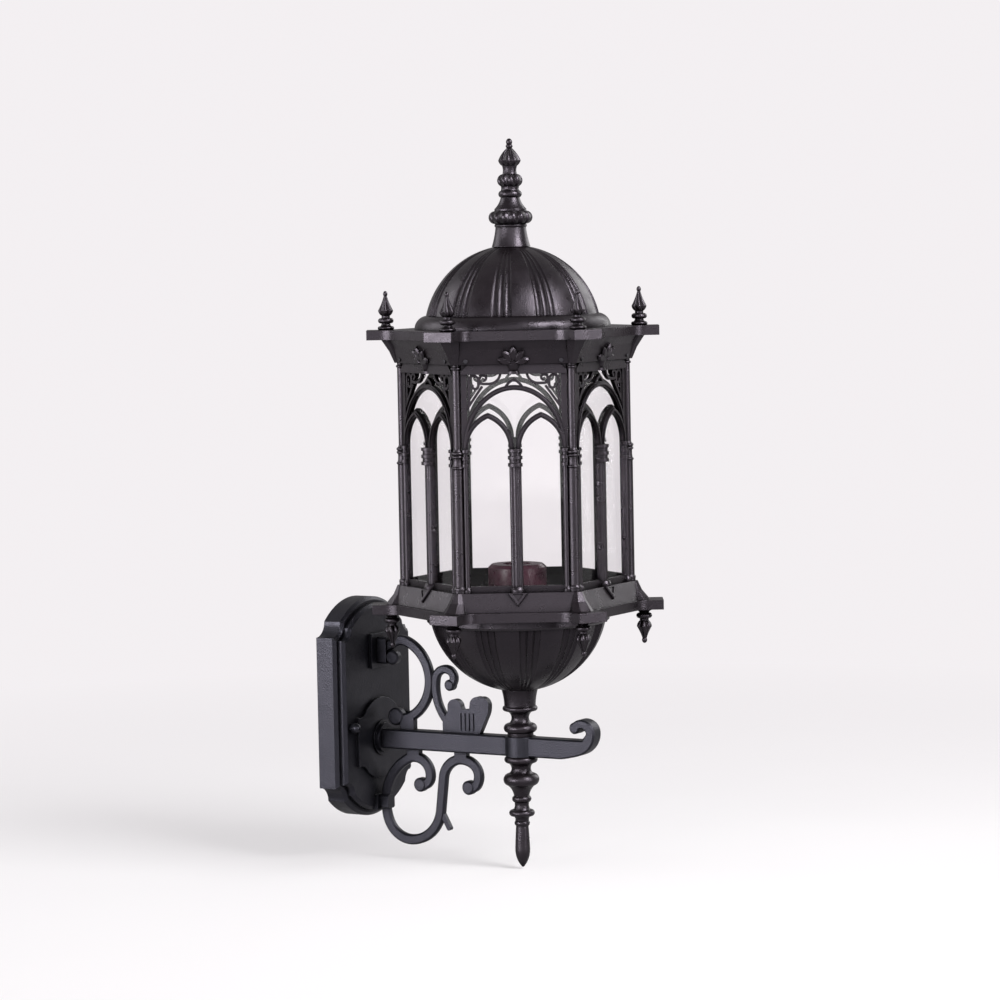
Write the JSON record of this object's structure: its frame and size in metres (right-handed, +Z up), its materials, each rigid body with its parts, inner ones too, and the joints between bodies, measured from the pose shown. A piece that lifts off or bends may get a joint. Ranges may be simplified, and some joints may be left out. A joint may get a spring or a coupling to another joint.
{
  "type": "wall lantern",
  "caption": "Hexagonal outdoor wall lantern with pierced tracery sides, fluted dome and bowl, turned finials, and a scrolled arm on a shaped wall plate.",
  "frame": {"origin": "middle of the two wall bolts, on the wall plane", "axes": "+Y into the wall along the bolts, the lantern stands out towards -Y; +Z up along the lantern axis; +X along the wall"},
  "size_m": [0.272, 0.3086, 0.6828],
  "materials": {
    "lantern_paint": "satin textured charcoal powder coat",
    "bracket_paint": "satin textured charcoal powder coat",
    "screw_paint": "satin black",
    "clear_glass": "clear",
    "holder_body": "matte",
    "plated_steel": "zinc plated",
    "connector": "matte"
  },
  "bodies": {
    "root": {"bowl": "lantern_paint", "lower_tray": "lantern_paint", "cornice": "lantern_paint", "dome": "lantern_paint", "top_finial": "lantern_paint", "upper_baluster": "lantern_paint", "lower_baluster": "lantern_paint", "drop_finial": "lantern_paint", "corner_pendant_1": "lantern_paint", "corner_pendant_2": "lantern_paint", "corner_pendant_3": "lantern_paint", "corner_pendant_4": "lantern_paint", "corner_pendant_5": "lantern_paint", "corner_pendant_6": "lantern_paint", "corner_post_1": "lantern_paint", "corner_post_2": "lantern_paint", "corner_post_3": "lantern_paint", "corner_post_4": "lantern_paint", "corner_post_5": "lantern_paint", "corner_post_6": "lantern_paint", "side_panel_1": "lantern_paint", "side_panel_2": "lantern_paint", "side_panel_3": "lantern_paint", "side_panel_4": "lantern_paint", "side_panel_5": "lantern_paint", "side_panel_6": "lantern_paint", "corner_finial_1": "lantern_paint", "corner_finial_2": "lantern_paint", "corner_finial_3": "lantern_paint", "corner_finial_4": "lantern_paint", "corner_finial_5": "lantern_paint", "corner_finial_6": "lantern_paint", "back_plate": "bracket_paint", "arm": "bracket_paint", "upper_scroll": "bracket_paint", "lower_scroll": "bracket_paint", "cap_nuts": "bracket_paint", "glass_pane_1": "clear_glass", "glass_pane_2": "clear_glass", "glass_pane_3": "clear_glass", "glass_pane_4": "clear_glass", "glass_pane_5": "clear_glass", "glass_pane_6": "clear_glass", "lampholder": "holder_body", "terminal_block": "connector", "mounting_bar": "plated_steel", "mounting_studs": "plated_steel", "arm_bolt": "plated_steel", "scroll_screws": "plated_steel", "threaded_tube": "plated_steel", "tube_nut": "plated_steel", "holder_plate": "plated_steel", "roof_screws": "plated_steel", "cornice_screws": "screw_paint"}
  },
  "joints": []
}
